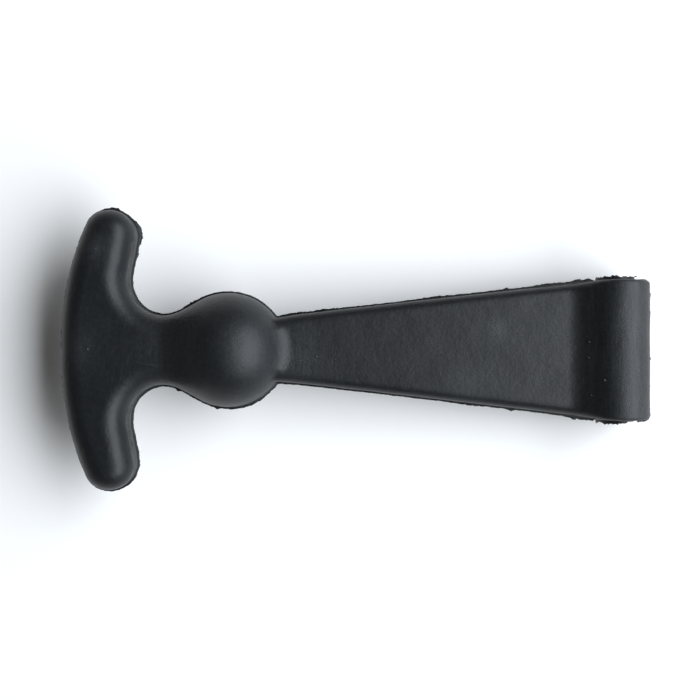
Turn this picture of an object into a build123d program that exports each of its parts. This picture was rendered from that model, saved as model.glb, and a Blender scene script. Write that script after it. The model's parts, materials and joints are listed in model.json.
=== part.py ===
from build123d import *
from math import asin, atan2, cos, degrees, radians, sin, sqrt, tan
import os

# Rubber T-handle draw latch: one black rubber moulding, in millimetres.
# It is drawn flat, on the plane where its two mould halves met, with the
# hinge-pin bore along Y through the origin and the T handle toward -X.
# The last step lays it down the way it rests on a table.

# Hinge barrel
pin_diameter = 6.35                 # the 1/4 inch hinge pin that the bore takes
pin_clearance = 0.15                # running clearance all round the pin
barrel_radius = 7.1
barrel_length = 29.3
barrel_flare = 8.0                  # hollow from the strap's face up on to the barrel

# Ball that drops behind the keeper
ball_radius = 11.8
ball_from_pivot = 81.9

# Strap: narrow and thick at the ball, wide and thin at the barrel
strap_width_at_ball = 13.5          # where the ball's front ends
strap_widest_from_pivot = 3.0       # where the straight sides reach the barrel's length
strap_thick_at_ball = 11.0
strap_thick_at_barrel = 5.2
strap_corner_radius = 30.0          # eases each strap side into the barrel's end
strap_edge_round = 2.2
crease_round = 0.9                  # sharp hollow where the strap leaves the ball
web_round = 4.7                     # deeper hollow there, on the strap's flat faces
web_flank_angle = 40.0

# T handle: a flat plate with heavily rounded edges
handle_thickness = 11.0
handle_edge_round = 5.0
bar_width = 57.4                    # tip to tip
tip_radius = 5.1
arm_sweep = 11.1                    # inner edge of each arm, in degrees from across
shoulder_radius = 61.4              # outer edge on each side of its flat middle
edge_from_notch = 20.7              # middle of the outer edge, beyond the notches
notch_radius = 7.5                  # finger notch under each arm, and neck to ball
neck_width = 14.2
neck_straight = 0.5                 # between the notch's curve and the ball's

# Parting lip left all round by the mould
lip_reach = 0.4
lip_thickness = 0.5

# Modelling allowances, too small to see
join_depth = 0.03                   # how far a blend is sunk into what it joins
web_depth = 1.0                     # how far the web's foot goes into the strap
nearly = 0.001

bore_radius = pin_diameter / 2 + pin_clearance
half_barrel = barrel_length / 2
half_neck = neck_width / 2
ball_centre = Vector(-ball_from_pivot, 0, 0)
notch_y = half_neck + notch_radius
notch_from_ball = sqrt((ball_radius + notch_radius) ** 2 - notch_y ** 2) + neck_straight
notch_x = -ball_from_pivot - notch_from_ball


def arc_about(centre, radius, start, end):
    """The short arc from start to end round centre."""
    middle = (start - centre).normalized() + (end - centre).normalized()
    return ThreePointArc(start, centre + middle.normalized() * radius, end)


def both_sides(edges):
    """The edges of one side in plan, and their mirror image."""
    return edges + [edge.mirror(Plane.XZ) for edge in edges]


def lies_on_ball(edge):
    """True where the whole edge runs over the ball's surface."""
    places = [edge @ share for share in (0, 0.3, 0.7, 1)]
    return all(abs((place - ball_centre).length - ball_radius) < nearly for place in places)


def handle_outline():
    """T handle in plan, drawn from the neck out round one arm to the middle."""
    notch = Vector(notch_x, notch_y)
    neck_root = Vector(-ball_from_pivot, half_neck)
    neck_end = Vector(notch_x, half_neck)

    # the straight inner edge touches the notch on one side and the tip on the other
    sweep = radians(arm_sweep)
    inner_normal = Vector(cos(sweep), -sin(sweep))
    tip_y = bar_width / 2 - tip_radius
    tip_x = (notch.dot(inner_normal) - notch_radius - tip_radius + tip_y * sin(sweep)) / cos(sweep)
    tip = Vector(tip_x, tip_y)
    notch_end = notch - inner_normal * notch_radius
    tip_inner = tip + inner_normal * tip_radius

    # the shoulder starts square to the flat middle and ends touching the tip's round
    edge_x = notch_x - edge_from_notch
    shoulder_x = edge_x + shoulder_radius
    shoulder_drop = sqrt((shoulder_radius - tip_radius) ** 2 - (tip_x - shoulder_x) ** 2)
    shoulder = Vector(shoulder_x, tip_y - shoulder_drop)
    shoulder_start = Vector(edge_x, shoulder.Y)
    tip_outer = shoulder + (tip - shoulder).normalized() * shoulder_radius

    side = [
        Line(neck_root, neck_end),
        arc_about(notch, notch_radius, neck_end, notch_end),
        Line(notch_end, tip_inner),
        ThreePointArc(tip_inner, tip + Vector(0, tip_radius), tip_outer),
        arc_about(shoulder, shoulder_radius, tip_outer, shoulder_start),
        Line(shoulder_start, Vector(edge_x, 0)),
    ]
    return make_face(both_sides(side) + [Line(neck_root, Vector(neck_root.X, -half_neck))])


def strap_outline():
    """Strap and barrel in plan: two opening sides eased into the barrel's ends."""
    half_start = strap_width_at_ball / 2
    run = ball_from_pivot - ball_radius - strap_widest_from_pivot
    side_angle = atan2(half_barrel - half_start, run)
    corner_x = -strap_widest_from_pivot
    ease = strap_corner_radius * tan(side_angle / 2)
    root = Vector(-ball_from_pivot, half_start - ball_radius * tan(side_angle))
    ease_start = Vector(corner_x - ease * cos(side_angle), half_barrel - ease * sin(side_angle))
    ease_end = Vector(corner_x + ease, half_barrel)
    ease_centre = ease_end - Vector(0, strap_corner_radius)
    end_corner = Vector(barrel_radius, half_barrel)
    side = [
        Line(root, ease_start),
        arc_about(ease_centre, strap_corner_radius, ease_start, ease_end),
        Line(ease_end, end_corner),
        Line(end_corner, Vector(barrel_radius, 0)),
    ]
    return make_face(both_sides(side) + [Line(root, Vector(root.X, -root.Y))])


# ---- Strap's flat face, which both the side profile and the web at the ball use ----
half_thin = strap_thick_at_barrel / 2
half_thick = strap_thick_at_ball / 2
taper = atan2(half_thick - half_thin, ball_from_pivot - barrel_radius)
face_normal = Vector(sin(taper), 0, cos(taper))
toward_barrel = Vector(cos(taper), 0, -sin(taper))
face_offset = Vector(-barrel_radius, 0, half_thin).dot(face_normal)

# ---- T handle and ball, blended at the neck ----
handle_plan = handle_outline()
handle = extrude(handle_plan, handle_thickness / 2, both=True)
handle_rims = [
    edge
    for edge in handle.edges()
    if abs(abs(edge.center().Z) - handle_thickness / 2) < nearly
    and edge.center().X < -ball_from_pivot - nearly
]
edge_round = min(handle_edge_round, 0.46 * handle_thickness, 0.88 * tip_radius)
handle = fillet(handle_rims, edge_round)

head = handle + Pos(*ball_centre) * Sphere(ball_radius)
neck_line = [edge for edge in head.edges() if lies_on_ball(edge) and (edge @ 0.5).X < -ball_from_pivot]
head = fillet(neck_line, notch_radius)
print("head", round(head.volume), "mm3")

# ---- Strap and barrel: the side profile, cut to the outline in plan ----
# the hollow's centre is one flare radius above the face and touches the barrel
hollow_offset = face_offset + barrel_flare
hollow_reach = sqrt((barrel_radius + barrel_flare) ** 2 - hollow_offset ** 2)
hollow = face_normal * hollow_offset - toward_barrel * hollow_reach
face_end = hollow - face_normal * barrel_flare
on_barrel = hollow.normalized() * barrel_radius
root_height = face_end.Z + (face_end.X + ball_from_pivot) * tan(taper)
barrel_front = Vector(barrel_radius, 0, 0)
profile_top = [
    Line(ball_centre, ball_centre + Vector(0, 0, root_height)),
    Line(ball_centre + Vector(0, 0, root_height), face_end),
    arc_about(hollow, barrel_flare, face_end, on_barrel),
]
round_barrel = ThreePointArc(on_barrel, barrel_front, Vector(on_barrel.X, 0, -on_barrel.Z))
profile = make_face(profile_top + [round_barrel] + [edge.mirror(Plane.XY) for edge in profile_top])
strap_plan = strap_outline()
strap = extrude(profile, barrel_length, both=True) & extrude(strap_plan, ball_radius, both=True)

side_faces = [face for face in strap.faces() if abs(face.normal_at(face.center()).Y) > 0.9]
long_edges = [
    edge
    for face in side_faces
    for edge in face.edges()
    if abs(edge.center().Z) > nearly and edge.center().X > -ball_from_pivot + nearly
]
strap = fillet(long_edges, min(strap_edge_round, 0.44 * strap_thick_at_barrel))
bore = Rot(90, 0, 0) * Cylinder(bore_radius, 2 * barrel_length)
strap = strap - bore
print("strap", round(strap.volume), "mm3")

moulding = head + strap
crease = [
    edge
    for edge in moulding.edges()
    if lies_on_ball(edge) and (edge @ 0.5).X > -ball_from_pivot and abs((edge @ 0.5).Z) < half_thick
]
moulding = fillet(crease, crease_round)

# ---- Web: a ring hollowed to the ball's side and the strap's face, kept only ----
# ---- across the flat of the strap, and the same again underneath           ----
face_height = face_offset - ball_centre.dot(face_normal) - join_depth
web_ball = ball_radius - join_depth
web_reach = sqrt((web_ball + web_round) ** 2 - (face_height + web_round) ** 2)
web_centre = Vector(web_reach, 0, face_height + web_round)
web_on_ball = web_centre.normalized() * web_ball
web_on_face = Vector(web_reach, 0, face_height)
web_root = face_height - web_depth
web_under = Vector(web_reach, 0, web_root)
web_inside = Vector(web_on_ball.X, 0, web_root)
web_profile = make_face([
    arc_about(web_centre, web_round, web_on_ball, web_on_face),
    Line(web_on_face, web_under),
    Line(web_under, web_inside),
    Line(web_inside, web_on_ball),
])
half_foot = strap_width_at_ball / 2 - strap_edge_round + web_depth * tan(radians(web_flank_angle))
web_foot = Pos(*web_under) * Rectangle(web_reach, 2 * half_foot)
flat_strip = extrude(web_foot, ball_radius - web_root, taper=web_flank_angle)
web = revolve(web_profile, axis=Axis.Z) & flat_strip
web = Plane(origin=ball_centre, x_dir=toward_barrel, z_dir=face_normal) * web
moulding = moulding + web + web.mirror(Plane.XY)
print("moulding", round(moulding.volume), "mm3")

# ---- Parting lip: the whole outline in plan, a little larger and very thin ----
outline = handle_plan + Pos(*ball_centre) * Circle(ball_radius) + strap_plan
neck_corners = [
    corner
    for corner in outline.vertices()
    if corner.X < -ball_from_pivot and abs((Vector(*corner) - ball_centre).length - ball_radius) < nearly
]
outline = fillet(neck_corners, notch_radius)
lip = extrude(offset(outline, lip_reach), lip_thickness / 2, both=True)
moulding = moulding + (lip - bore)

# ---- Laid down as it rests: ball and barrel both touch the table ----
lie_angle = degrees(asin((ball_radius - barrel_radius) / ball_from_pivot))
latch = Rot(0, lie_angle, 0) * moulding
size = latch.bounding_box()
print("lies at", round(lie_angle, 2), "degrees; solids", len(latch.solids()))
print("box", size.min, size.max, "volume", round(latch.volume), "mm3")

os.makedirs("parts", exist_ok=True)
export_step(latch.solids()[0], "parts/latch_moulding.step")
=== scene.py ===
# %% [markdown]
# # A rubber T-handle draw latch
# The real latch is a single piece of black rubber, pressed in a two-part mould.
# A T handle, a short neck, a ball, a tapering strap and a barrel for the hinge pin
# all run into one another, and where the mould halves met, a thin ragged flash of
# rubber is left standing all round the outline.
#
# This script takes the measured model as a fixed frame, dresses it with a smooth
# moulded skin, the flash, a few crumbs and a worn rubber finish, in which some paler
# colour is painted light and painted reflection, and then lays it on a pale table
# under one large soft light.

import json
from math import atan2, cos, degrees, pi, radians, sin, sqrt, tan

import bpy
import numpy as np
from mathutils import Matrix, Vector
from mathutils.bvhtree import BVHTree


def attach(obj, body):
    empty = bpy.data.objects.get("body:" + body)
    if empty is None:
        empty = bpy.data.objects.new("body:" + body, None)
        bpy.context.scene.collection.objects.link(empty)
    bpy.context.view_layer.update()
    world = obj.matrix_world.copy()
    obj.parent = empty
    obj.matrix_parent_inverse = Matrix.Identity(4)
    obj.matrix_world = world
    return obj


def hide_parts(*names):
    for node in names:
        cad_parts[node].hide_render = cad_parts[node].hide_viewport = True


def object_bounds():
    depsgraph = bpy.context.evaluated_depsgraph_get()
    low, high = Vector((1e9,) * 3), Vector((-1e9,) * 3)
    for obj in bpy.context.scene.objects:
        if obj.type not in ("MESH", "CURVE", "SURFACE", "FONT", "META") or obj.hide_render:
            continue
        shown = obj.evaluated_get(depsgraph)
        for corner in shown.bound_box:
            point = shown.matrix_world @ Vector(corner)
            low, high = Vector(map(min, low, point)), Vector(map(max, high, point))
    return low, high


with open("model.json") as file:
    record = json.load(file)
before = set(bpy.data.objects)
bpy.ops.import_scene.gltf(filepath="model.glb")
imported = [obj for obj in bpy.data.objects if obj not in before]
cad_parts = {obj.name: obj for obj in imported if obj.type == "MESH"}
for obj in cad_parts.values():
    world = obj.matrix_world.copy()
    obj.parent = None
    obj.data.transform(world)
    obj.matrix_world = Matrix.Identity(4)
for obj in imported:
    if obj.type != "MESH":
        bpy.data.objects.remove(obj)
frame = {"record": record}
cad_box = [list(corner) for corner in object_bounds()]
mounts = {mount["name"]: mount for mount in frame["record"]["mounts"]}
print("measured box in mm", [[round(v * 1000, 1) for v in corner] for corner in cad_box])

# %% [markdown]
# ## Working flat
# The latch rests on its ball and its barrel, and the ball is the thicker of the two,
# so the whole moulding leans back a few degrees. It is far easier to describe flat,
# on the plane where the mould halves met, in millimetres, with the hinge pin at
# the origin. Everything is therefore made flat, and one matrix lays it down.
# The lean comes from the frame: the strap's middle at the keeper is a little
# higher than the hinge pin.

# %% The plane of the mould
MM = 0.001
WAVER_ROOM = 0.00006  # the skin wavers a little below the measured box
keeper_seat = Vector(mounts["keeper_seat"]["pos_m"])
lean = atan2(keeper_seat.z, -keeper_seat.x)
lay_down = Matrix.Rotation(lean, 4, "Y") @ Matrix.Scale(MM, 4)
table_height = cad_box[0][2] - WAVER_ROOM
print("the moulding leans", round(degrees(lean), 2), "degrees")


def laid(points):
    """Flat millimetres to the metres of the finished, resting latch."""
    turn = np.array(lay_down.to_3x3())
    return np.asarray(points) @ turn.T


# %% [markdown]
# ## The latch's proportions
# These are the same few sizes that the measured model is drawn from: a handle plate,
# a ball, a wedge-shaped strap and a barrel. Each place is worked out from them. Two
# things are for the eye alone, since nothing fits against them: the edges of the
# barrel's ends are sharper, and the strap lies a little bent.

# %% Driving sizes, in millimetres
barrel_radius = 7.1
barrel_half = 14.65
barrel_flare = 8.0
bore_radius = mounts["pivot_bore"]["dims"]["r_mm"]
mouth_edge = 0.5  # rounding of the bore's mouths
ball_radius = 11.8
ball_x = -81.9
strap_half_at_ball = 6.75
strap_widest_x = -3.0
strap_corner = 30.0
strap_half_thick = 5.5
strap_half_thin = 2.6
strap_edge = 2.2  # rounding of its long edges
barrel_edge = 0.8  # rounding of the barrel's end edges
crease = 0.9  # hollow between ball and strap at the strap's sides
web = 4.7  # the same hollow across its flat faces
strap_bow = 0.25  # how far its middle line strays sideways
plate_half = 5.5
plate_edge = 4.5
bar_half = 28.7
tip_radius = 5.1
arm_sweep = radians(11.1)
shoulder_radius = 61.4
edge_from_notch = 20.7
notch_radius = 7.5
half_neck = 7.1
neck_straight = 0.5

# %% [markdown]
# ## A solid described by distance
# A moulding like this has no sharp parts: every piece flows into the next through a
# hollow of some radius. Blending meshes like that by hand is slow, so the shape is
# written as a distance: a function that is negative in the rubber, positive in the
# air and zero at the skin. Two helpers do all the blending. One rounds the edge where
# two surfaces meet, the other fills the hollow between two pieces with a rolling
# ball, taking the angle between them into account.

# %% Distance helpers


def rounded_edge(a, b, radius):
    """Where both surfaces bound the solid: their common edge, rounded."""
    a, b = a + radius, b + radius
    return np.minimum(np.maximum(a, b), 0) + np.hypot(np.maximum(a, 0), np.maximum(b, 0)) - radius


def filled_hollow(a, b, radius, meeting):
    """The union of two pieces, with a ball of that radius rolled along the hollow.
    meeting is the cosine of the angle between the two surfaces' normals."""
    a_gap, b_gap = radius - a, radius - b
    scale = 1 / (1 - meeting**2)
    along_a = (a_gap - meeting * b_gap) * scale
    along_b = (b_gap - meeting * a_gap) * scale
    reach = np.sqrt(np.maximum(along_a**2 + along_b**2 + 2 * meeting * along_a * along_b, 0))
    in_hollow = (along_a > 0) & (along_b > 0)
    return np.where(in_hollow, radius - reach, np.minimum(a, b))


def between(x, y, first, last):
    """True where the direction (x, y) lies counter-clockwise from first to last."""
    angle = np.mod(np.arctan2(y, x) - first, 2 * pi)
    return angle < np.mod(last - first, 2 * pi)


def eased(low, high, value):
    """Rises smoothly from 0 at low to 1 at high."""
    share = np.clip((value - low) / (high - low), 0, 1)
    return share * share * (3 - 2 * share)


print("distance helpers ready")

# %% [markdown]
# ## The T handle in plan
# Seen from above, half of the handle is four curves and a line: a long shoulder arc,
# the round tip of the arm, a straight inner edge that leans outwards, and the finger
# notch that turns into the neck. Each runs tangent into the next.

# %% Places on the handle's outline
notch_y = half_neck + notch_radius
notch_x = ball_x - sqrt((ball_radius + notch_radius) ** 2 - notch_y**2) - neck_straight
edge_x = notch_x - edge_from_notch
inner_x, inner_y = cos(arm_sweep), -sin(arm_sweep)
tip_y = bar_half - tip_radius
inner_reach = notch_x * inner_x + notch_y * inner_y - notch_radius - tip_radius
tip_x = (inner_reach - tip_y * inner_y) / inner_x
shoulder_x = edge_x + shoulder_radius
shoulder_y = tip_y - sqrt((shoulder_radius - tip_radius) ** 2 - (tip_x - shoulder_x) ** 2)
tip_to_shoulder = atan2(tip_y - shoulder_y, tip_x - shoulder_x)
print("arm tip at", round(tip_x, 1), round(tip_y, 1), "outer edge at", round(edge_x, 1))


def handle_in_plan(x, y):
    """Distance to the handle's outline; y is taken from the middle line."""
    outer = np.where(
        y > shoulder_y,
        np.hypot(x - shoulder_x, y - shoulder_y) - shoulder_radius,
        edge_x - x,
    )
    inner = (x - notch_x) * inner_x + (y - notch_y) * inner_y + notch_radius
    notch = notch_radius - np.hypot(x - notch_x, y - notch_y)
    in_notch = between(x - notch_x, y - notch_y, pi - arm_sweep, 1.5 * pi)
    side = np.where(in_notch, notch, np.minimum(inner, y - half_neck))
    at_tip = between(x - tip_x, y - tip_y, -arm_sweep, tip_to_shoulder)
    tip = np.hypot(x - tip_x, y - tip_y) - tip_radius
    return np.maximum(np.where(at_tip, tip, np.maximum(outer, side)), x - ball_x)


# %% [markdown]
# ## The strap from the side and in plan
# From the side the strap is a wedge, thick at the ball and thin at the barrel, and it
# sweeps up on to the barrel through a hollow. In plan it opens the other way, so the
# rubber has about the same section all along and stretches evenly.

# %% Places on the strap
taper = atan2(strap_half_thick - strap_half_thin, -ball_x - barrel_radius)
face_x, face_z = sin(taper), cos(taper)
face_offset = -barrel_radius * face_x + strap_half_thin * face_z
hollow_offset = face_offset + barrel_flare
hollow_along = sqrt((barrel_radius + barrel_flare) ** 2 - hollow_offset**2)
hollow_x = face_x * hollow_offset - face_z * hollow_along
hollow_z = face_z * hollow_offset + face_x * hollow_along
side_start_x = ball_x + ball_radius
side_angle = atan2(barrel_half - strap_half_at_ball, strap_widest_x - side_start_x)
print("strap tapers by", round(degrees(taper), 1), "degrees")
print("each side opens by", round(degrees(side_angle), 1), "degrees")


def strap_from_side(x, z):
    """Distance to the profile of strap and barrel; z is taken from the middle plane."""
    face = x * face_x + z * face_z - face_offset
    barrel = np.hypot(x, z) - barrel_radius
    hollow = barrel_flare - np.hypot(x - hollow_x, z - hollow_z)
    toward_face = atan2(-face_z, -face_x)
    toward_barrel = atan2(-hollow_z, -hollow_x)
    in_hollow = between(x - hollow_x, z - hollow_z, toward_face, toward_barrel)
    wedge = np.maximum(face, x)
    return np.maximum(np.where(in_hollow, hollow, np.minimum(wedge, barrel)), ball_x - x)


def strap_in_plan(x, y):
    """Distance to the strap's outline: a straight side eased into the barrel's end."""
    side = (y - strap_half_at_ball) * cos(side_angle) - (x - side_start_x) * sin(side_angle)
    ease_x = strap_widest_x + strap_corner * tan(side_angle / 2)
    ease_y = barrel_half - strap_corner
    in_ease = between(x - ease_x, y - ease_y, 0.5 * pi, 0.5 * pi + side_angle)
    ease = np.hypot(x - ease_x, y - ease_y) - strap_corner
    return np.where(in_ease, ease, np.maximum(side, y - barrel_half))


def middle_line(x):
    """Where the bent strap's middle lies: aside between ball and barrel, straight at both."""
    straightens = 40
    return strap_bow * eased(-74, -66, x) * (1 - np.clip(x / straightens + 1, 0, 1) ** 2)


# %% [markdown]
# ## The whole moulding
# The pieces are joined in the order that a pattern maker would: the plate to the
# ball, then the strap to the ball, and last the hole for the pin. The hollow on the
# strap's flat faces is deep, and at its sides it is almost a crease.

# %% The moulding as one distance
# cosines of the angles at which the pieces meet
PLATE_MEETS_BALL = 0.55
BALL_MEETS_STRAP = 0.45


def without_hole(points):
    """Distance from each point, in flat millimetres, to the rubber before its hole is cut."""
    x, z = points[..., 0], np.abs(points[..., 2])
    y = np.abs(points[..., 1] - middle_line(x))
    plate = rounded_edge(handle_in_plan(x, y), z - plate_half, plate_edge)
    ball = np.sqrt((x - ball_x) ** 2 + y**2 + z**2) - ball_radius
    head = filled_hollow(plate, ball, notch_radius, PLATE_MEETS_BALL)
    # the long edges sharpen as they run on to the barrel
    edge = strap_edge + (barrel_edge - strap_edge) * eased(-8.5, -4.5, x)
    strap = rounded_edge(strap_from_side(x, z), strap_in_plan(x, y), edge)
    # the web tightens to a crease toward the strap's sides
    root = web + (crease - web) * eased(3.8, 5.8, y)
    return np.where(x < ball_x, head, filled_hollow(ball, strap, root, BALL_MEETS_STRAP))


def moulding(points):
    """The same, with the pin's hole and its slightly rounded mouths."""
    bore = bore_radius - np.hypot(points[..., 0], points[..., 2])
    return rounded_edge(without_hole(points), bore, mouth_edge)


def skin_slope(points, distance=moulding, step=0.01):
    """Outward direction at each point, from small steps along each axis."""
    columns = []
    for axis in range(3):
        shift = np.zeros(3)
        shift[axis] = step
        columns.append(distance(points + shift) - distance(points - shift))
    slope = np.stack(columns, axis=-1)
    length = np.linalg.norm(slope, axis=-1, keepdims=True)
    return slope / np.maximum(length, 1e-9)


ball_top = np.array([ball_x, 0.0, ball_radius])
print("distance at the ball's top", round(float(moulding(ball_top)), 4))

# %% [markdown]
# ## From distance to mesh
# The space around the latch is cut into small cells. Every cell that the skin passes
# through gets one point, and every cell edge that it crosses gets one four-sided face
# joining the four cells around it. The points are then relaxed a few times and drawn
# back on to the exact skin, which leaves an even net with no seams or poles.

# %% Net of the skin
CELL = 0.37
MARGIN = 1.5  # air kept all round the latch
EVENING = 0.6  # how far a point goes toward the middle of its neighbours


def skin_net(cell):
    """The skin's points, and its four-sided faces wound to look outwards."""
    low = np.array([edge_x - MARGIN, -bar_half - MARGIN, -ball_radius - MARGIN])
    high = np.array([barrel_radius + MARGIN, bar_half + MARGIN, ball_radius + MARGIN])
    count = np.ceil((high - low) / cell).astype(int) + 1
    axes = [low[axis] + cell * np.arange(count[axis]) for axis in range(3)]
    grid = np.stack(np.meshgrid(*axes, indexing="ij"), axis=-1).astype(np.float32)
    value = moulding(grid)
    rubber = value < 0

    # cells with both rubber and air at their corners
    corner_steps = [(i, j, k) for i in (0, 1) for j in (0, 1) for k in (0, 1)]
    shape = tuple(count - 1)
    filled = sum(
        rubber[i : i + shape[0], j : j + shape[1], k : k + shape[2]].astype(int)
        for i, j, k in corner_steps
    )
    cells = np.argwhere((filled > 0) & (filled < 8))
    number = -np.ones(shape, dtype=int)
    number[tuple(cells.T)] = np.arange(len(cells))

    # each point starts at the middle of its cell's crossings
    total = np.zeros((len(cells), 3))
    crossings = np.zeros((len(cells), 1))
    for axis in range(3):
        for start in corner_steps:
            if start[axis]:
                continue
            a = cells + start
            b = a.copy()
            b[:, axis] += 1
            value_a, value_b = value[tuple(a.T)], value[tuple(b.T)]
            crossed = (value_a < 0) != (value_b < 0)
            share = np.where(crossed, value_a / np.where(crossed, value_a - value_b, 1), 0)
            place = (a + share[:, None] * (b - a)) * cell + low
            total += np.where(crossed[:, None], place, 0)
            crossings += crossed[:, None]
    points = total / crossings

    # one face for each crossed edge, wound so that it looks outwards
    faces = []
    for axis in range(3):
        u, v = (axis + 1) % 3, (axis + 2) % 3
        ahead = np.roll(rubber, -1, axis)
        edges = np.argwhere(rubber != ahead)
        inside = (edges[:, axis] < shape[axis]) & (edges[:, u] > 0) & (edges[:, v] > 0)
        edges = edges[inside]
        around = []
        for du, dv in ((1, 1), (0, 1), (0, 0), (1, 0)):
            cell_at = edges.copy()
            cell_at[:, u] -= du
            cell_at[:, v] -= dv
            around.append(number[tuple(cell_at.T)])
        quads = np.stack(around, axis=1)
        leaving = rubber[tuple(edges.T)]
        faces.append(np.where(leaving[:, None], quads, quads[:, ::-1]))
    return points, np.concatenate(faces)


def relaxed(points, faces, rounds):
    """Evens the net out, keeping every point on the skin."""
    ends = np.concatenate([faces[:, [i, (i + 1) % 4]] for i in range(4)])
    starts = np.concatenate([ends[:, 0], ends[:, 1]])
    others = np.concatenate([ends[:, 1], ends[:, 0]])
    neighbours = np.bincount(starts, minlength=len(points))[:, None]
    for _ in range(rounds):
        sums = [np.bincount(starts, points[others, axis], len(points)) for axis in range(3)]
        points = points + EVENING * (np.stack(sums, axis=1) / neighbours - points)
        for _ in range(2):
            slope = skin_slope(points)
            points = points - moulding(points)[:, None] * slope
    return points


net_points, net_faces = skin_net(CELL)
net_points = relaxed(net_points, net_faces, rounds=4)
print("skin net:", len(net_points), "points,", len(net_faces), "faces")
print("furthest point off the skin, mm:", float(np.abs(moulding(net_points)).max()))

# %% [markdown]
# ## The skin as an object
# Real rubber shrinks unevenly as it cools, so its long faces are never quite flat and
# a highlight wavers along them. Slow waves, a few hundredths of a millimetre high in
# all, give that. The skin is then laid down, and its points carry two painted values.
# The first says where the finish is rubbed, and also where paler colour paints light
# on to the barrel, the hollow before it and the neck. The second marks a pale line on
# the upright skin beside the flash, partly dust from trimming and partly a painted
# reflection of that steep skin.

# %% Waver, wear with painted light, and the skin object
rng = np.random.default_rng(11)
SHORTEST_WAVE, LONGEST_WAVE = 6, 22


def waver(points, count=26, height=0.006):
    """Slow uneven waves over the moulding, in millimetres."""
    total = np.zeros(len(points))
    for _ in range(count):
        wave = rng.normal(size=3)
        length = rng.uniform(SHORTEST_WAVE, LONGEST_WAVE)
        wave *= 2 * pi / (np.linalg.norm(wave) * length)
        total += np.sin(points @ wave + rng.uniform(0, 2 * pi))
    return total * height


# place along, across, how far it spreads, how strong
scuffs_and_painted_light = [
    (-26.0, 4.8, 1.3, 0.8),
    (-25.6, 2.4, 1.6, 0.5),
    (-32.4, -6.9, 3.0, 0.5),
    # painted light: this place lifts the shade at the start of the hollow before the barrel
    (-12.0, 0.0, 6.0, 0.15),
    (3.3, 6.0, 3.5, 0.8),
    (3.5, -4.0, 4.0, 0.9),
    (3.1, -12.0, 2.0, 0.7),
    (-77.2, 1.0, 4.5, 0.5),
    (-110.3, 0.5, 2.5, 0.4),
    # painted light: this place lifts the shade on the neck
    (-93.5, 0.0, 4.5, 0.4),
    (-108.0, 20.7, 2.0, 0.6),
    (-66.0, -2.0, 4.0, 0.5),
]


def wear_and_painted_light_at(points):
    """How rubbed the skin is at the scuffed places, plus paler colour painted as light over the
    hollow before the barrel and over the barrel, less on its far rim; two of the places paint
    light too.
    """
    x, y = points[:, 0], points[:, 1]
    # painted light: paler colour over the hollow before the barrel and over the barrel, kept
    # mostly off its far rim
    total = 0.42 * eased(-8.0, -6.0, x) + 0.3 * eased(-3.5, -0.5, x)
    total *= 1 - 0.7 * eased(4.0, 6.0, x)
    for along, across, spread, strength in scuffs_and_painted_light:
        gap = (x - along) ** 2 + (y - across) ** 2
        total += strength * np.exp(-gap / (2 * spread**2))
    return np.clip(total, 0, 1)


def dust_and_painted_reflection_at(points, slopes):
    """Strong where the skin stands upright beside the flash: a pale line, partly dust from
    trimming and partly a painted reflection of that steep skin.
    """
    upright = 1 - eased(0.10, 0.42, np.abs(slopes[:, 2]))
    return 0.7 * upright * (1 - eased(1.4, 2.6, np.abs(points[:, 2])))


def linked(name, data):
    """A new object of that name in the scene, which holds the data."""
    piece = bpy.data.objects.new(name, data)
    bpy.context.scene.collection.objects.link(piece)
    return piece


def mesh_object(name, points, faces):
    """A new smooth object of these points and faces."""
    mesh = bpy.data.meshes.new(name)
    mesh.from_pydata(np.asarray(points).tolist(), [], np.asarray(faces).tolist())
    mesh.polygons.foreach_set("use_smooth", [True] * len(mesh.polygons))
    return linked(name, mesh)


def paint(mesh, key, values):
    """Stores one number on each point of the mesh."""
    attribute = mesh.attributes.new(key, "FLOAT", "POINT")
    attribute.data.foreach_set("value", np.ascontiguousarray(values))


slopes = skin_slope(net_points)
uneven = net_points + waver(net_points)[:, None] * slopes
skin = mesh_object("latch_skin", laid(uneven), net_faces)
# wear, with paler colour painted as light on the barrel, its hollow and the neck
paint(skin.data, "worn", wear_and_painted_light_at(net_points))
# a pale line of dust and painted reflection on the upright skin beside the flash
paint(skin.data, "dusty", dust_and_painted_reflection_at(net_points, slopes))
print("skin object:", len(skin.data.polygons), "faces")
print("its box in mm", [round(v * 1000, 1) for v in skin.dimensions])

# %% [markdown]
# ## Node trees written as sums
# Both the flash and the rubber finish are built from nodes. Wiring maths nodes by hand
# hides what they compute, so a small class wraps a socket and lets ordinary Python
# sums add the nodes. Its method make adds any node: its type, then its settings, then
# what goes into its sockets, and last which of its outputs is wanted.

# %% The node helper


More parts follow.
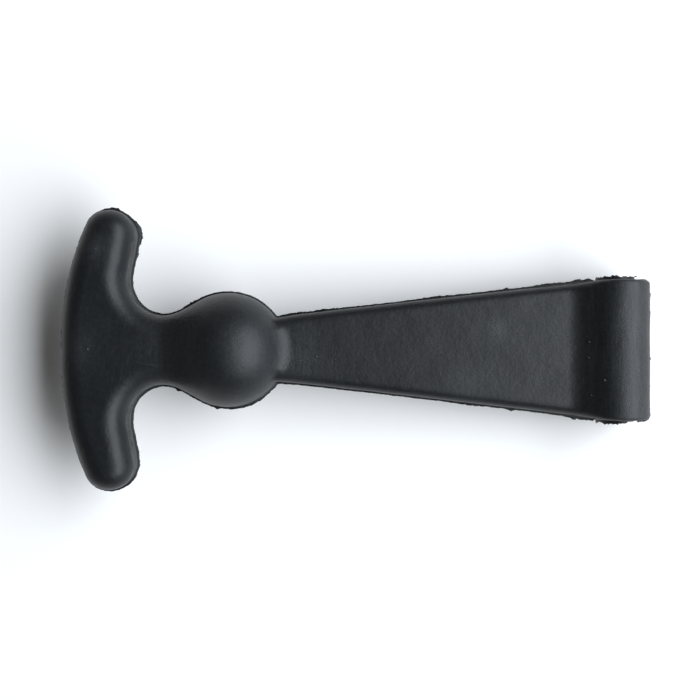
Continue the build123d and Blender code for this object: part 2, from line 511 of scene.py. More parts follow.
class Wire:
    """One output socket of a node tree, usable in sums."""

    def __init__(self, tree, socket=None):
        self.tree = tree
        self.socket = socket

    def make(self, kind, settings=None, values=None, output=0):
        """Adds a node; stops are a colour ramp's, each a position and a grey."""
        node = self.tree.nodes.new(kind)
        for name, setting in (settings or {}).items():
            if name == "stops":
                ramp = node.color_ramp
                while len(ramp.elements) < len(setting):
                    ramp.elements.new(0.5)
                for element, (position, grey) in zip(ramp.elements, setting):
                    element.position = position
                    element.color = (grey, grey, grey, 1)
            else:
                setattr(node, name, setting)
        for name, value in (values or {}).items():
            if isinstance(value, Wire):
                self.tree.links.new(value.socket, node.inputs[name])
            else:
                node.inputs[name].default_value = value
        return Wire(self.tree, node.outputs[output]) if node.outputs else node

    def sum_of(self, operation, first, second):
        """Adds one maths node."""
        return self.make("ShaderNodeMath", {"operation": operation}, {0: first, 1: second})

    def __add__(self, other):
        return self.sum_of("ADD", self, other)

    def __radd__(self, other):
        return self.sum_of("ADD", other, self)

    def __sub__(self, other):
        return self.sum_of("SUBTRACT", self, other)

    def __rsub__(self, other):
        return self.sum_of("SUBTRACT", other, self)

    def __mul__(self, other):
        return self.sum_of("MULTIPLY", self, other)

    def __rmul__(self, other):
        return self.sum_of("MULTIPLY", other, self)


print("node helper ready")

# %% [markdown]
# ## The path of the flash
# Flash forms where the two mould halves meet, so it follows the outline of the flat
# moulding all the way round. The outline is walked in short steps: a step sideways
# to the skin's slope, then a small correction back on to it. The pin's hole
# interrupts it at each end of the barrel, which leaves two open paths, and a ring of
# flash runs round each mouth of the hole.

# %% Walk round the outline
STEP = 0.2
MOST_STEPS = 4000  # far more than one round takes
FIRST_STEPS = 20  # before these, the walk is still leaving its start


def walk_outline():
    """Rows of six round the outline: a place, and the skin's slope there."""
    place = start = np.array([barrel_radius, 0.0, 0.0])
    walked = []
    while len(walked) < MOST_STEPS:
        slope = skin_slope(place[None, :], without_hole)[0]
        walked.append(np.concatenate([place, slope]))
        place = place + STEP * np.array([-slope[1], slope[0], 0.0])
        for _ in range(3):
            slope = skin_slope(place[None, :], without_hole)[0]
            place = place - without_hole(place[None, :])[0] * slope
            place[2] = 0.0
        if len(walked) > FIRST_STEPS and np.linalg.norm(place - start) < 0.7 * STEP:
            break
    return np.array(walked)


outline = walk_outline()
print("outline of", len(outline), "steps,", round(len(outline) * STEP), "mm round")

# %% [markdown]
# ## How far the flash stands out
# The two mould halves never close in quite the same place all round. The lip they
# leave is about four tenths of a millimetre wide on most of the outline and a full
# millimetre where the handle faces the hinge. Beyond it a paper-thin fin was torn off
# by hand, so it is nearly gone in most places and ragged in a few. Each point of the
# path gets both widths: a steady part from its direction, and a part from the torn
# places.

# %% Lip and fin along the path
LIP = 0.37
LEDGE = 0.6  # how much wider the lip is where the handle faces the hinge
FIN = 0.1
RING_SHARE = 0.8  # how wide the rings are, against the flash along the outline
# place along, across, how far it spreads, extra lip, extra fin
torn_places = [
    (-100.9, 25.2, 1.0, 0.28, 0.40),
    (-100.6, 23.4, 0.8, 0.30, 0.50),
    (-100.5, 21.9, 0.35, 0.45, 0.90),
    (-100.8, 20.2, 0.7, 0.12, 0.30),
    (-105.2, 28.4, 1.2, 0.05, 0.25),
    (-100.4, -23.8, 0.4, 0.10, 0.35),
    (-102.1, -27.3, 1.2, 0.00, 0.20),
    (-92.2, -8.2, 0.35, 0.00, 0.60),
    (-84.1, -12.1, 0.4, 0.00, 0.55),
    (-81.4, -12.4, 0.35, 0.05, 0.70),
    (-77.4, -11.3, 2.0, 0.05, 0.12),
    (-71.6, -8.0, 1.6, 0.05, 0.10),
    (-89.2, 9.4, 1.2, 0.00, 0.15),
    (-68.5, 7.3, 1.4, 0.05, 0.30),
    (-61.6, 8.0, 2.0, 0.00, 0.20),
    (-37.8, 10.5, 2.5, 0.00, 0.18),
    (-23.4, 12.4, 0.35, 0.00, 0.40),
    (-22.5, -12.2, 0.5, 0.00, 0.28),
    (-31.0, -11.2, 2.5, 0.05, 0.15),
    (-14.0, 13.4, 2.0, 0.05, 0.25),
    (-8.2, 14.3, 1.0, 0.15, 0.30),
    (-4.5, 14.9, 1.4, 0.15, 0.30),
    (-1.8, 14.9, 1.3, 0.25, 0.45),
    (2.6, 14.9, 1.2, 0.10, 0.45),
    (7.2, 12.2, 0.8, 0.05, 0.20),
    (6.9, 8.0, 1.6, 0.00, 0.20),
    (7.1, -1.8, 0.3, 0.00, 0.35),
    (7.1, -9.5, 2.5, 0.00, 0.12),
    (5.6, -14.4, 1.0, 0.10, 0.35),
    (-0.8, -14.9, 1.5, 0.15, 0.55),
    (-3.6, -14.7, 1.2, 0.15, 0.50),
    (-8.2, -14.2, 1.4, 0.10, 0.45),
]


def flash_widths(path):
    """Widths of the lip and the fin, and how far the hollow at the lip's root climbs."""
    x, y, hingeward = path[:, 0], path[:, 1], np.clip(path[:, 3], 0, 1)
    # wide where the handle faces the hinge, less toward its tips, and a little on one
    # side of the ball
    on_handle = 1 - eased(-95, -92, x)
    low_on_ball = eased(-82, -80, x) * (1 - eased(-72, -70, x)) * (y < 0)
    ledge = on_handle * hingeward**2 * (1 - 0.75 * eased(21, 26, np.abs(y)))
    lip = LIP + LEDGE * ledge + 0.15 * low_on_ball * hingeward
    root = 0.3 + 0.9 * ledge
    fin = np.full(len(path), FIN)
    for along, across, spread, more_lip, more_fin in torn_places:
        near = np.exp(-((x - along) ** 2 + (y - across) ** 2) / (2 * spread**2))
        lip += more_lip * near
        fin += more_fin * near
    return lip, fin, root


def path_between(first, last):
    """The walked outline from one place to another, counter-clockwise."""
    starts = int(np.argmin(np.hypot(outline[:, 0] - first[0], outline[:, 1] - first[1])))
    onward = np.roll(outline, -starts, axis=0)
    ends = int(np.argmin(np.hypot(onward[:, 0] - last[0], onward[:, 1] - last[1])))
    return onward[: ends + 1]


clear_of_hole = bore_radius + 0.75  # where the open paths end, on each side of the hole
ring_radius = bore_radius + 0.6
front_path = path_between((clear_of_hole, -barrel_half), (clear_of_hole, barrel_half))
rear_path = path_between((-clear_of_hole, barrel_half), (-clear_of_hole, -barrel_half))


def hole_path(side):
    """Round the mouth of the hole, where the steel core met the mould."""
    turn = np.arange(0, 2 * pi, STEP / clear_of_hole)
    still = np.zeros_like(turn)
    across = np.stack([np.cos(turn), still, np.sin(turn)], axis=1)
    place = across * ring_radius + np.array([0, side * barrel_half, 0])
    outward = np.stack([still, still + side, still], axis=1)
    return np.concatenate([place, outward, across], axis=1)


def with_across(path):
    """Adds the direction of the flash's thickness: straight up from the mould's plane."""
    return np.concatenate([path, np.tile([0.0, 0.0, 1.0], (len(path), 1))], axis=1)


def path_object(name, open_paths, rings):
    """Every path as edges of one mesh, with the flash's widths and directions on its points."""
    rows, edges, widths = [], [], []
    for number, path in enumerate(open_paths + rings):
        first, count = len(rows), len(path)
        edges += [(first + i, first + i + 1) for i in range(count - 1)]
        if number < len(open_paths):
            from_end = np.minimum(np.arange(count), np.arange(count)[::-1]) * STEP
            fade = eased(-0.2, 1.2, from_end)
        else:
            edges.append((first + count - 1, first))
            fade = RING_SHARE
        lip, fin, root = flash_widths(path)
        rows += path.tolist()
        widths += np.stack([lip * fade, fin * fade, root], axis=1).tolist()
    rows, widths = np.array(rows), np.array(widths)
    mesh = bpy.data.meshes.new(name)
    mesh.from_pydata(rows[:, :3].tolist(), edges, [])
    for column, key in enumerate(("lip", "fin", "root")):
        paint(mesh, key, widths[:, column])
    for column, key in ((3, "outward"), (6, "across")):
        values = rows[:, column : column + 3].ravel().copy()
        mesh.attributes.new(key, "FLOAT_VECTOR", "POINT").data.foreach_set("vector", values)
    return linked(name, mesh)


outline_paths = [with_across(front_path), with_across(rear_path)]
flash = path_object("parting_flash", outline_paths, [hole_path(1), hole_path(-1)])
print("flash path points:", len(flash.data.vertices))

# %% [markdown]
# ## The section of the flash
# Cut across, the flash is a small hollow running down off the skin, the edge of a flat
# lip and a thin fin. Half of it is listed here from the skin outwards, and the lower
# half is its mirror image. Each point is given in shares of the widths that the path
# carries, so one section serves the narrow lips and the wide ones. The node tree
# sweeps the section along the path.

# %% Points of the section
LIP_HALF_THICK = 0.2
FIN_HALF_THICK = 0.06
HOLLOW_SHARE = 0.8
# share of the lip's width, of the fin's width, of the root's height, height, and the pale line of
# dust and painted reflection
upper_half = [(-0.5, 0, 1.1, LIP_HALF_THICK, 0.6)]
# the hollow at the lip's root carries the pale line: dust with a painted reflection
for turn, dust_and_reflection_share in ((0, 0.6), (16, 0.6), (34, 0.6), (55, 0.4), (72, 0), (90, 0)):
    sunk = 0.1 * (1 - turn / 90)
    reach = HOLLOW_SHARE * (1 - cos(radians(turn))) - sunk
    upper_half.append((reach, 0, 1 - sin(radians(turn)), LIP_HALF_THICK, dust_and_reflection_share))
upper_half += [
    (0.94, 0, 0, LIP_HALF_THICK, 0),
    (1.0, 0, 0, 0.6 * LIP_HALF_THICK, 0),
    (1.0, 0.1, 0, FIN_HALF_THICK, 0),
    (1.0, 0.55, 0, 0.8 * FIN_HALF_THICK, 0),
    (1.0, 1.0, 0, 0.35 * FIN_HALF_THICK, 0),
]
lower_half = [(lip, fin, -root, -high, dust_and_reflection_share) for lip, fin, root, high, dust_and_reflection_share in upper_half[::-1]]
section = upper_half + lower_half
section_ring = [(i, (i + 1) % len(section)) for i in range(len(section))]
section_mesh = bpy.data.meshes.new("flash_section")
section_mesh.from_pydata(
    [(lip + fin, root + high, 0) for lip, fin, root, high, _ in section], section_ring, []
)
for column, key in enumerate(("lip_share", "fin_share", "root_share", "height", "dusty")):
    paint(section_mesh, key, [point[column] for point in section])
flash_section = linked("flash_section", section_mesh)
print("section has", len(section), "points")

# %% [markdown]
# ## Sweeping and tearing the flash
# Geometry Nodes suit this well, because the flash follows a path and its raggedness
# should stay adjustable. The tree turns the walked points into a curve, spaces them
# evenly, sweeps the section along it, and then puts each point where the widths, two
# sizes of torn noise and a slow curl say. Near its end the tree lays the whole flash
# down with the same lean as the skin.

# %% The flash tree


def new_tree(name, inputs):
    """An empty tree with these named inputs, each with its type and usual value."""
    tree = bpy.data.node_groups.new(name, "GeometryNodeTree")
    tree.interface.new_socket("Geometry", in_out="INPUT", socket_type="NodeSocketGeometry")
    for label, kind, value in inputs:
        socket = tree.interface.new_socket(label, in_out="INPUT", socket_type="NodeSocket" + kind)
        if value is not None:
            socket.default_value = value
    tree.interface.new_socket("Geometry", in_out="OUTPUT", socket_type="NodeSocketGeometry")
    start = tree.nodes.new("NodeGroupInput")
    sockets = {socket.name: Wire(tree, socket) for socket in start.outputs if socket.name}
    return tree, Wire(tree), sockets


def close_tree(wire, geometry, material):
    """Ends a tree: its instances are made real and given their material."""
    real = wire.make("GeometryNodeRealizeInstances", None, {"Geometry": geometry})
    values = {"Geometry": real, "Material": material}
    finished = wire.make("GeometryNodeSetMaterial", None, values)
    end = wire.tree.nodes.new("NodeGroupOutput")
    wire.tree.links.new(finished.socket, end.inputs[0])


def add_nodes(piece, tree, values):
    """Adds the tree to the piece and sets every input, by its identifier, to the value
    given here or else to the tree's own."""
    modifier = piece.modifiers.new(tree.name, "NODES")
    modifier.node_group = tree
    for socket in tree.interface.items_tree:
        if socket.in_out == "INPUT" and socket.name in values:
            modifier[socket.identifier] = values[socket.name]
        elif socket.in_out == "INPUT" and socket.name != "Geometry":
            modifier[socket.identifier] = socket.default_value


def settle(piece):
    """Runs the piece's nodes and keeps what comes out as its plain mesh."""
    bpy.context.view_layer.update()
    evaluated = piece.evaluated_get(bpy.context.evaluated_depsgraph_get())
    mesh = bpy.data.meshes.new_from_object(evaluated)
    piece.modifiers.clear()
    old = piece.data
    piece.data = mesh
    bpy.data.meshes.remove(old)
    mesh.name = piece.name


def named(wire, kind, name):
    """A value that the points carry."""
    return wire.make("GeometryNodeInputNamedAttribute", {"data_type": kind}, {"Name": name})


def noise(wire, place, scale, detail, seed):
    """Noise from 0 to 1, different for each seed."""
    settings = {"noise_dimensions": "4D", "normalize": True}
    values = {"Vector": place, "W": seed, "Scale": scale, "Detail": detail}
    return wire.make("ShaderNodeTexNoise", settings, values)


def vector_maths(wire, operation, values):
    return wire.make("ShaderNodeVectorMath", {"operation": operation}, values)


flash_tree, wire, given = new_tree(
    "sweep_and_tear",
    [
        ("Section", "Object", None),
        ("Spacing", "Float", 0.16),
        ("Tear size", "Float", 1.1),
        ("Fray size", "Float", 0.35),
        ("Curl", "Float", 0.35),
        ("Seed", "Float", 3.0),
        ("Lean", "Float", 0.0),
        ("Material", "Material", None),
    ],
)
path_curve = wire.make("GeometryNodeMeshToCurve", None, {"Mesh": given["Geometry"]})
even_curve = wire.make(
    "GeometryNodeResampleCurve",
    {"mode": "LENGTH"},
    {"Curve": path_curve, "Length": given["Spacing"]},
)
placed_curve = wire.make(
    "GeometryNodeStoreNamedAttribute",
    {"data_type": "FLOAT_VECTOR", "domain": "POINT"},
    {"Geometry": even_curve, "Name": "path_at", "Value": wire.make("GeometryNodeInputPosition")},
)
section_edges = wire.make("GeometryNodeObjectInfo", None, {"Object": given["Section"]}, "Geometry")
section_curve = wire.make("GeometryNodeMeshToCurve", None, {"Mesh": section_edges})
swept = wire.make(
    "GeometryNodeCurveToMesh",
    None,
    {"Curve": placed_curve, "Profile Curve": section_curve, "Fill Caps": True},
)

path_at = named(wire, "FLOAT_VECTOR", "path_at")
outward = named(wire, "FLOAT_VECTOR", "outward")
lip_width, fin_width = named(wire, "FLOAT", "lip"), named(wire, "FLOAT", "fin")
tear_at = vector_maths(wire, "DIVIDE", {0: path_at, 1: given["Tear size"]})
fray_at = vector_maths(wire, "DIVIDE", {0: path_at, 1: given["Fray size"]})
tear = noise(wire, tear_at, 1.0, 1.0, given["Seed"])
fray = noise(wire, fray_at, 1.0, 1.5, given["Seed"] + 7)
lip_waver = noise(wire, tear_at, 0.3, 1.0, given["Seed"] + 19)
# share of the fin left standing: more in some stretches than in others, and frayed
standing = wire.make("ShaderNodeClamp", None, {"Value": 3.2 * tear - 1.0})
frayed = standing * 0.8 + 1.6 * fray - 0.45
kept_share = wire.make("ShaderNodeClamp", None, {"Value": frayed, "Min": 0.05, "Max": 1.6})
ragged = fin_width * kept_share
uneven_lip = lip_width * (0.75 + 0.5 * lip_waver)
out = named(wire, "FLOAT", "lip_share") * uneven_lip + named(wire, "FLOAT", "fin_share") * ragged
curl = (noise(wire, tear_at, 0.7, 1.0, given["Seed"] + 31) - 0.5) * given["Curl"]
hollow = named(wire, "FLOAT", "root_share") * named(wire, "FLOAT", "root")
up = named(wire, "FLOAT", "height") + hollow + named(wire, "FLOAT", "fin_share") * curl
reached = vector_maths(wire, "MULTIPLY_ADD", {0: outward, 1: out, 2: path_at})
across = named(wire, "FLOAT_VECTOR", "across")
moved = vector_maths(wire, "MULTIPLY_ADD", {0: across, 1: up, 2: reached})
placed = wire.make("GeometryNodeSetPosition", None, {"Geometry": swept, "Position": moved})
leaning = wire.make("ShaderNodeCombineXYZ", None, {"X": 0.0, "Y": given["Lean"], "Z": 0.0})
laid_flash = wire.make(
    "GeometryNodeTransform",
    None,
    {"Geometry": placed, "Rotation": leaning, "Scale": (MM, MM, MM)},
)
smooth_flash = wire.make("GeometryNodeSetShadeSmooth", None, {"Geometry": laid_flash})
close_tree(wire, smooth_flash, given["Material"])
print("flash tree has", len(flash_tree.nodes), "nodes")

# %% [markdown]
# ## The rubber's finish
# Moulded rubber is a nearly black, half-matt solid. Close up it has a fine grain from
# the mould, a soft unevenness that breaks its highlights up, a bluish bloom that has
# come to the surface, pale rubbed patches with hair-fine scratches, and a broken pale
# line against the flash. Some of the pale patches are painted light, on the barrel, the
# hollow before it and the neck, and the pale line is dust with a painted reflection in
# it. The patches and the line follow the values painted on each point of the mesh. The
# rest comes from noise in the object's own coordinates, in metres, so it stays at the
# right size on every side.

# %% The rubber material
# paler colours: the first for rubbed patches and for painted light, the second for the pale line
# of dust and painted reflection
RUBBED_AND_PAINTED_LIGHT = (0.034, 0.037, 0.040, 1)
DUST_AND_PAINTED_REFLECTION = (0.12, 0.122, 0.12, 1)


def rubber_finish(name, dark, pale, rubbed_more=0.0):
    """A rubber whose colour runs from dark to pale with its bloom and grain."""
    material = bpy.data.materials.new(name)
    material.use_nodes = True
    tree = material.node_tree
    tree.nodes.clear()
    wire = Wire(tree)
    place = wire.make("ShaderNodeTexCoord", output="Object")

    def grain(scale, detail=2.0, roughness=0.5, at=place):
        settings = {"noise_dimensions": "3D", "noise_type": "FBM"}
        values = {"Vector": at, "Scale": scale, "Detail": detail, "Roughness": roughness}
        return wire.make("ShaderNodeTexNoise", settings, values)

    def ramp(value, *stops):
        return wire.make("ShaderNodeValToRGB", {"stops": stops}, {"Fac": value})

    def painted(key):
        return wire.make("ShaderNodeAttribute", {"attribute_name": key}, output="Fac")

    def mixed(share, first, second):
        # sockets 6 and 7 and output 2 are the colour ones of this node
        values = {"Factor": share, 6: first, 7: second}
        return wire.make("ShaderNodeMix", {"data_type": "RGBA"}, values, 2)

    def turned(angle):
        values = {"Vector": place, "Angle": angle}
        return wire.make("ShaderNodeVectorRotate", {"rotation_type": "Z_AXIS"}, values)

    def stretched(at, scale):
        return wire.make("ShaderNodeMapping", None, {"Vector": at, "Scale": scale})

    def clamped(value):
        return wire.make("ShaderNodeClamp", None, {"Value": value})

    worn = painted("worn")
    bloom = ramp(grain(70, 4.0, 0.6), (0.35, 0.0), (0.72, 1.0))
    mottle = ramp(grain(1100, 3.0, 0.65), (0.38, 0.0), (0.70, 1.0))
    fine = ramp(grain(3400, 2.0, 0.6), (0.35, 0.0), (0.68, 1.0))
    # hair scratches: noise drawn out long, in three directions
    scratches = 0
    for angle, along in ((0.15, 120), (1.3, 260), (1.75, 220)):
        drawn = stretched(turned(angle), (along, 2400, 2400))
        scratches = scratches + ramp(grain(1.0, at=drawn), (0.67, 0.0), (0.74, 1.0))
    pale_share = 0.25 * bloom + 0.2 * mottle + 0.12 * fine + 0.1 * scratches + rubbed_more
    colour = mixed(clamped(pale_share), dark, pale)
    # short streaks across the latch, as a hand rubs it
    streaks = ramp(grain(1.0, at=stretched(place, (1900, 160, 700))), (0.42, 0.0), (0.62, 1.0))
    # rubbed patches and scratches; on the barrel, its hollow and the neck the paler colour is
    # painted light
    rubbed_and_painted_light = worn * (0.3 + 0.3 * mottle + 0.3 * fine + 0.35 * streaks) + 0.22 * scratches
    colour = mixed(clamped(rubbed_and_painted_light), colour, RUBBED_AND_PAINTED_LIGHT)
    # the pale line beside the flash: dust with a painted reflection
    broken = ramp(grain(420, 3.0), (0.35, 0.45), (0.60, 1.0)) * (0.6 + 0.4 * fine)
    colour = mixed(clamped(painted("dusty") * broken), colour, DUST_AND_PAINTED_REFLECTION)
    roughness = 0.40 + 0.05 * grain(140, 3.0) + 0.04 * mottle + 0.03 * worn
    height = 0.4 * grain(5200) + 1.2 * grain(1500) + 2.4 * grain(520) - 0.3 * scratches
    height = height + 1.2 * worn * fine
    relief = {"Strength": 0.36, "Distance": 0.00007, "Height": height}
    bump = wire.make("ShaderNodeBump", None, relief)
    values = {"Base Color": colour, "Roughness": roughness, "IOR": 1.37, "Normal": bump}
    shader = wire.make("ShaderNodeBsdfPrincipled", None, values)
    wire.make("ShaderNodeOutputMaterial", None, {"Surface": shader})
    return material


DARK, PALE = (0.0058, 0.0069, 0.0083, 1), (0.0148, 0.0172, 0.0202, 1)
TORN_DARK, TORN_PALE = (0.0055, 0.0063, 0.0074, 1), (0.0135, 0.0152, 0.0175, 1)
rubber = rubber_finish("black_rubber", DARK, PALE)
torn_rubber = rubber_finish("torn_rubber", TORN_DARK, TORN_PALE, rubbed_more=0.05)
skin.data.materials.append(rubber)
print("rubber finish nodes:", len(rubber.node_tree.nodes))

# %% [markdown]
# ## Running the flash tree
# The tree can run now that it has a material to set. What comes out is kept as a plain
# mesh, since the tools that hand the latch on take finished meshes. The section has
# done its work and is removed.

# %% Run the flash tree
add_nodes(flash, flash_tree, {"Section": flash_section, "Lean": lean, "Material": torn_rubber})
settle(flash)
bpy.data.objects.remove(flash_section)
print("flash faces:", len(flash.data.polygons))

# %% [markdown]
# ## Crumbs and curls
# Trimming leaves bits of rubber and dust behind. A few are picked out one by one, and
# each is dropped straight down on to the skin. The rest are strewn thinly over it by
# Geometry Nodes with a fixed seed. Each crumb is a low lump of twenty faces, half sunk
# into the skin, and each curl is a short hair of rubber still hanging on the rim of the
# barrel.

# %% Where the bits lie
CRUMB_DARK, CRUMB_PALE = (0.08, 0.082, 0.085, 1), (0.14, 0.142, 0.146, 1)
crumb_finish = rubber_finish("crumb", CRUMB_DARK, CRUMB_PALE)
WELL_ABOVE = 0.1  # in metres, where a crumb's drop starts
# along, across, radius in mm
crumbs_picked = [
    (-66.6, -2.1, 0.22),
    (-63.3, -1.3, 0.38),
    (-63.9, -2.0, 0.16),
    (-60.2, -2.4, 0.24),
    (-59.5, -1.9, 0.15),
    (-55.7, -3.3, 0.22),
    (-54.8, -4.6, 0.14),
    (-69.8, -3.3, 0.40),
    (-69.2, -2.7, 0.24),
    (-70.3, -2.4, 0.18),
    (-26.9, 5.9, 0.20),
    (-26.2, 5.0, 0.26),
    (-26.5, 4.2, 0.18),
    (-25.4, 3.4, 0.20),
    (-25.9, 1.9, 0.16),
    (-18.6, -1.9, 0.24),
    (-17.7, -2.3, 0.18),
    (-6.6, 1.7, 0.34),
    (-6.7, -1.6, 0.26),
    (-3.9, -6.2, 0.40),
    (-6.2, -9.4, 0.28),
    (-109.0, 0.2, 0.30),
    (-107.4, 20.3, 0.18),
    (-0.4, 3.8, 0.18),
    (3.7, -12.2, 0.36),
    (4.2, -11.5, 0.24),
]
skin_surface = BVHTree.FromPolygons(
    [corner.co for corner in skin.data.vertices],
    [list(face.vertices) for face in skin.data.polygons],
)
crumb_places, crumb_sizes = [], []
for along, across, radius in crumbs_picked:
    above = Vector((along * MM, across * MM, WELL_ABOVE))
    crumb_places.append(skin_surface.ray_cast(above, Vector((0, 0, -1)))[0])
    crumb_sizes.append(radius * MM)
crumbs = mesh_object("crumbs", crumb_places, [])
paint(crumbs.data, "lump_size", crumb_sizes)
print("crumbs picked out:", len(crumb_places))

# %% The crumb tree
crumb_tree, wire, given = new_tree(
    "strew_crumbs",
    [
        ("Skin", "Object", None),
        ("Per square metre", "Float", 9000.0),
        ("Smallest", "Float", 0.00004),
        ("Largest", "Float", 0.00009),
        ("Seed", "Int", 5),
        ("Material", "Material", None),
    ],
)
skin_faces = wire.make("GeometryNodeObjectInfo", None, {"Object": given["Skin"]}, "Geometry")
strewn = wire.make(
    "GeometryNodeDistributePointsOnFaces",
    None,
    {"Mesh": skin_faces, "Density": given["Per square metre"], "Seed": given["Seed"]},
    "Points",
)
any_size = wire.make(
    "FunctionNodeRandomValue",
    {"data_type": "FLOAT"},
    {2: given["Smallest"], 3: given["Largest"], "Seed": given["Seed"]},
    1,
)
strewn = wire.make(
    "GeometryNodeStoreNamedAttribute",
    {"data_type": "FLOAT", "domain": "POINT"},
    {"Geometry": strewn, "Name": "lump_size", "Value": any_size},
)
picked = wire.make("GeometryNodeMeshToPoints", None, {"Mesh": given["Geometry"]})
join = crumb_tree.nodes.new("GeometryNodeJoinGeometry")
for points in (picked, strewn):
    crumb_tree.links.new(points.socket, join.inputs[0])
lump = wire.make("GeometryNodeMeshIcoSphere", None, {"Radius": 1.0, "Subdivisions": 1}, "Mesh")


def any_vector(least, most):
    """Three random numbers for each crumb."""
    values = {0: least, 1: most, "Seed": given["Seed"]}
    return wire.make("FunctionNodeRandomValue", {"data_type": "FLOAT_VECTOR"}, values)


any_turn = any_vector((0.0, 0.0, 0.0), (6.283, 6.283, 6.283))  # up to once round
any_shape = any_vector((0.6, 0.5, 0.4), (1.3, 1.0, 0.9))
lump_size = named(wire, "FLOAT", "lump_size")
sized = vector_maths(wire, "SCALE", {0: any_shape, "Scale": lump_size})
bits = Wire(crumb_tree, join.outputs[0])
lumps = wire.make(
    "GeometryNodeInstanceOnPoints",
    None,
    {"Points": bits, "Instance": lump, "Rotation": any_turn, "Scale": sized},
)
close_tree(wire, lumps, given["Material"])
add_nodes(crumbs, crumb_tree, {"Skin": skin, "Material": crumb_finish})
settle(crumbs)
print("crumb faces:", len(crumbs.data.polygons))

# %% The curls
# start (along, across, height), heading in degrees in plan, length, turn in degrees
curl_starts = [
    ((-0.4, 15.0, 0.6), 110, 1.8, -190),
    ((1.3, 14.9, 0.8), 125, 2.0, -300),
    ((2.4, 14.9, 0.6), 60, 2.0, 260),
    ((3.7, 14.9, 0.6), 100, 1.3, -130),
]
CURL_POINTS = 12
CURL_LIFT = 0.4  # how much a curl rises and falls as it turns
curl_places, curl_edges = [], []
for start, heading, length, turn in curl_starts:
    place, first = np.array(start), len(curl_places)
    for i in range(CURL_POINTS):
        curl_places.append((place * MM).tolist())
        now = radians(heading + turn * i / CURL_POINTS)
        forward = np.array([cos(now), sin(now), CURL_LIFT * sin(2 * now)])
        place = place + forward * length / CURL_POINTS
    curl_edges += [(first + i, first + i + 1) for i in range(CURL_POINTS - 1)]
curl_mesh = bpy.data.meshes.new("curls")
curl_mesh.from_pydata(curl_places, curl_edges, [])
curls = linked("curls", curl_mesh)
curl_tree, wire, given = new_tree(
    "round_the_curls", [("Radius", "Float", 0.00011), ("Material", "Material", None)]
)
hair = wire.make("GeometryNodeMeshToCurve", None, {"Mesh": given["Geometry"]})
ring = wire.make(
    "GeometryNodeCurvePrimitiveCircle",
    None,
    {"Resolution": 6, "Radius": given["Radius"]},
    "Curve",
)
rounded = wire.make(
    "GeometryNodeCurveToMesh",
    None,
    {"Curve": hair, "Profile Curve": ring, "Fill Caps": True},
)
close_tree(wire, rounded, given["Material"])
add_nodes(curls, curl_tree, {"Material": torn_rubber})
settle(curls)
print("curl faces:", len(curls.data.polygons))

# %% [markdown]
# ## Riding on the frame
# The skin and the flash are one moulding on the real latch, and the bits of rubber and
# dust lie on it. All four stand in for the measured solid, which stays hidden for
# collisions.

# %% Tie the pieces to the frame
for piece in (skin, flash, crumbs, curls):
    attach(piece, "root")
    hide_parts("latch_moulding")
print("pieces ride on root")

# %% [markdown]
# ## Table, light and camera
# The latch lies on a plain white table and is looked at from straight above, close to.
# One wide soft light stands on the hinge's side, halfway down from overhead. It draws
# the long highlights down the arms, the ball and the barrel, and it lights the table to
# a plain level, so that white comes out white and no more. A weak surround, strongest
# near the horizon on the handle's side, keeps the far sides and the shadow from going
# black. Where the camera sees past the table, it sees plain white.

# %% The table
TABLE_HALF = 0.25


def table_finish():
    """Plain matt white."""
    material = bpy.data.materials.new("white_table")
    material.use_nodes = True
    tree = material.node_tree
    tree.nodes.clear()
    wire = Wire(tree)
    matt = wire.make("ShaderNodeBsdfDiffuse", None, {"Color": (1.0, 1.0, 1.0, 1)})
    wire.make("ShaderNodeOutputMaterial", None, {"Surface": matt})
    return material


table_corners = [
    (x * TABLE_HALF, y * TABLE_HALF, table_height) for x, y in ((-1, -1), (1, -1), (1, 1), (-1, 1))
]
table = mesh_object("table_top", table_corners, [(0, 1, 2, 3)])
table.data.materials.append(table_finish())
print("table at", round(table_height * 1000, 2), "mm")

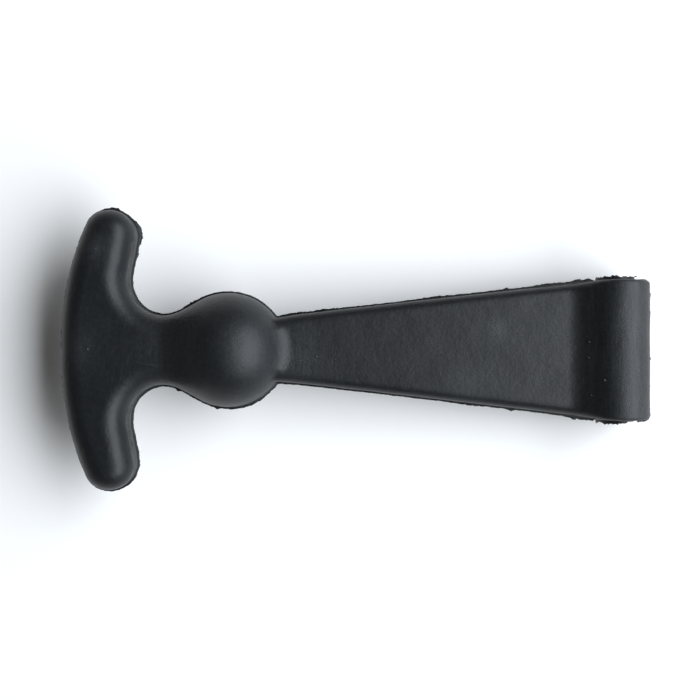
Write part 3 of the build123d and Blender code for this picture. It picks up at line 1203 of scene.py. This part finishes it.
# %% The surround
FROM_ALL_ROUND = 0.038
NEAR_HORIZON = 0.28
LESS_TO_HINGE = 0.26
world = bpy.data.worlds.new("surround")
bpy.context.scene.world = world
world.use_nodes = True
world.node_tree.nodes.clear()
wire = Wire(world.node_tree)
seen = wire.make("ShaderNodeLightPath", output="Is Camera Ray")
toward = wire.make("ShaderNodeTexCoord", output="Generated")
up = wire.make("ShaderNodeSeparateXYZ", None, {"Vector": toward}, "Z")
hingeward = wire.make("ShaderNodeSeparateXYZ", None, {"Vector": toward}, "X")
low = wire.sum_of("POWER", 1 - wire.sum_of("MAXIMUM", up, 0.0), 3.0)
strength = FROM_ALL_ROUND + low * (NEAR_HORIZON - LESS_TO_HINGE * hingeward)
warm = (1.0, 0.975, 0.94, 1)
fill = wire.make("ShaderNodeBackground", None, {"Color": warm, "Strength": strength})
white = wire.make("ShaderNodeBackground", None, {"Color": (1, 1, 1, 1), "Strength": 1.0})
both = wire.make("ShaderNodeMixShader", None, {0: seen, 1: fill, 2: white})
wire.make("ShaderNodeOutputWorld", None, {"Surface": both})
print("surround ready")

# %% The soft light and the camera
view_centre = Vector((-0.0565, 0, 0))

soft_light = bpy.data.lights.new("soft_light", "AREA")
soft_light.shape = "RECTANGLE"
soft_light.size = 3.2
soft_light.size_y = 1.5
soft_light.energy = 92  # in watts: at this distance the white table comes out just white
soft_light.color = (0.955, 1.0, 1.045)
light_tilt = radians(48)
light_away = 2.0
lamp = linked("soft_light", soft_light)
lamp.location = view_centre + light_away * Vector((sin(light_tilt), 0, cos(light_tilt)))
lamp.rotation_euler = (view_centre - lamp.location).to_track_quat("-Z", "Y").to_euler()

camera_data = bpy.data.cameras.new("camera")
camera_data.sensor_width = 36
camera_height = 0.19
frame_width = 0.1493  # what the camera sees at the hinge pin's height, in metres
camera_data.lens = camera_data.sensor_width * camera_height / frame_width
camera = linked("camera", camera_data)
camera.location = view_centre + Vector((0, 0, camera_height))
bpy.context.scene.camera = camera
bpy.context.scene.view_settings.view_transform = "Standard"
print("camera lens", round(camera_data.lens, 1), "mm")
